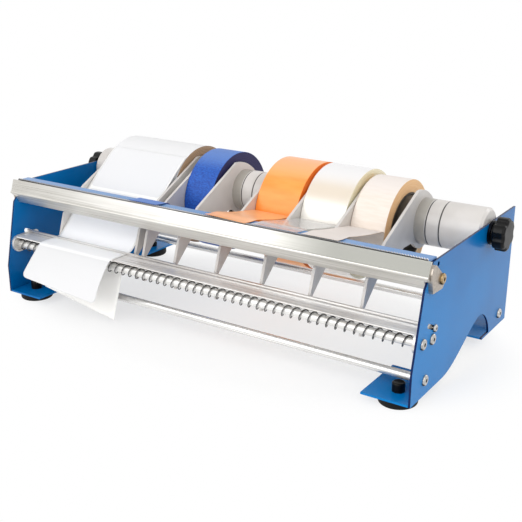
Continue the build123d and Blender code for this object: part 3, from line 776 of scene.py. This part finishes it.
def peelLabel(values):
    # Between a left and a right bent path, whose Y and Z mix by the share of the width.
    # Near either end the half width is less by corner - sqrt(corner^2 - (corner - d)^2),
    # with d the distance from that end.
    leftY, leftZ, reach = bendPath(values["leftEdge"], values["pathPoints"])
    rightY, rightZ, rightReach = bendPath(values["rightEdge"], values["pathPoints"])
    fromEnd = np.minimum(reach, reach[-1] - reach)
    corner = values["corner"]
    dip = corner - np.sqrt(corner ** 2 - np.clip(corner - fromEnd, 0, corner) ** 2)
    half = (values["right"] - values["left"]) / 2
    across = np.linspace(-1, 1, values["acrossPoints"]) * (1 - dip[:, None] / half)
    share = (across + 1) / 2
    points = np.stack([
        (values["right"] + values["left"]) / 2 + across * half,
        leftY[:, None] * (1 - share) + rightY[:, None] * share - frontDepth,
        leftZ[:, None] * (1 - share) + rightZ[:, None] * share,
    ], -1) * mm
    piece = thicken(gridPiece("peeledLabel", points), values["thickness"] * mm)
    dress(piece, "plainPaper")
    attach(piece, "stand")
    2 * half * mm


layWeb(web)
peelLabel(label)
print("labels laid")


# Floor, which keeps a part of the shadow and else shows white to the camera. The share of
# its glow is "seen" under the object and 1 beyond an oval: "edge" is where it rises, along
# X, and along Y that is nearer by "oval".
stage = {
    "size": 12, "colour": tint(252, 252, 252), "rough": 0.9, "shine": 0.1, "white": (1, 1, 1, 1),
    "seen": 0.64, "edge": (0.25, 0.33), "oval": 1.8, "glow": 1.0, "sky": 0.78, "backdrop": 1.0,
}


def seenDirectly(start):
    # 1 for camera, glossy and transmission rays
    rays = ("Is Camera Ray", "Is Glossy Ray", "Is Transmission Ray")
    camera, glossy, passed = (start.add("ShaderNodeLightPath", {}, {}, ray) for ray in rays)
    return camera.most(glossy).most(passed)


def layFloor(values):
    side = values["size"] / 2
    corners = np.array([[[-side, -side, 0], [side, -side, 0]], [[-side, side, 0], [side, side, 0]]])
    floor = gridPiece("floor", corners)
    material = bpy.data.materials.new("floor")
    material.use_nodes = True
    tree = material.node_tree
    shader = tree.nodes["Principled BSDF"]
    shader.inputs["Base Color"].default_value = values["colour"]
    shader.inputs["Roughness"].default_value = values["rough"]
    shader.inputs["Specular IOR Level"].default_value = values["shine"]
    start = Shade(tree)
    diffuse = Shade(tree, shader.outputs[0])
    glow = start.add("ShaderNodeEmission", {}, {"Color": values["white"], "Strength": values["glow"]})
    place = start.add("ShaderNodeTexCoord", {}, {}, "Object")
    distance = (place.part("X") ** 2 + (place.part("Y") * values["oval"]) ** 2) ** 0.5
    share = seenDirectly(start) * distance.rise(*values["edge"]).between(values["seen"], 1)
    shown = start.add("ShaderNodeMixShader", {}, {0: share, 1: diffuse, 2: glow})
    tree.links.new(shown.socket, tree.nodes["Material Output"].inputs["Surface"])
    floor.data.materials.append(material)


def hangSky(values):
    # The sky lights the object, and the backdrop is what the camera and mirrors see of it
    world = bpy.data.worlds.new("sky")
    world.use_nodes = True
    scene.world = world
    tree = world.node_tree
    start = Shade(tree)
    sky, backdrop = (
        start.add("ShaderNodeBackground", {}, {"Color": values["white"], "Strength": values[name]})
        for name in ("sky", "backdrop")
    )
    shown = start.add("ShaderNodeMixShader", {}, {0: seenDirectly(start), 1: sky, 2: backdrop})
    tree.links.new(shown.socket, tree.nodes["World Output"].inputs["Surface"])


# Lamps, all aimed at the origin
lamps = {
    "key": {"place": (-1.4, -1.1, 1.4), "size": 0.9, "power": 3},
    "fill": {"place": (1.3, -0.8, 0.9), "size": 1.4, "power": 5.5},
    "front": {"place": (-0.3, -1.4, 0.8), "size": 1.2, "power": 10},
    "back": {"place": (1.0, 1.4, 0.8), "size": 0.5, "power": 3},
}


def hangLamps(lamps):
    for name, values in lamps.items():
        data = bpy.data.lights.new(name, "AREA")
        data.size = values["size"]
        data.energy = values["power"]
        lamp = bpy.data.objects.new(name, data)
        scene.collection.objects.link(lamp)
        lamp.location = values["place"]
        lamp.rotation_euler = (-lamp.location).to_track_quat("-Z", "Y").to_euler()


layFloor(stage)
hangSky(stage)
hangLamps(lamps)
print("stage set")
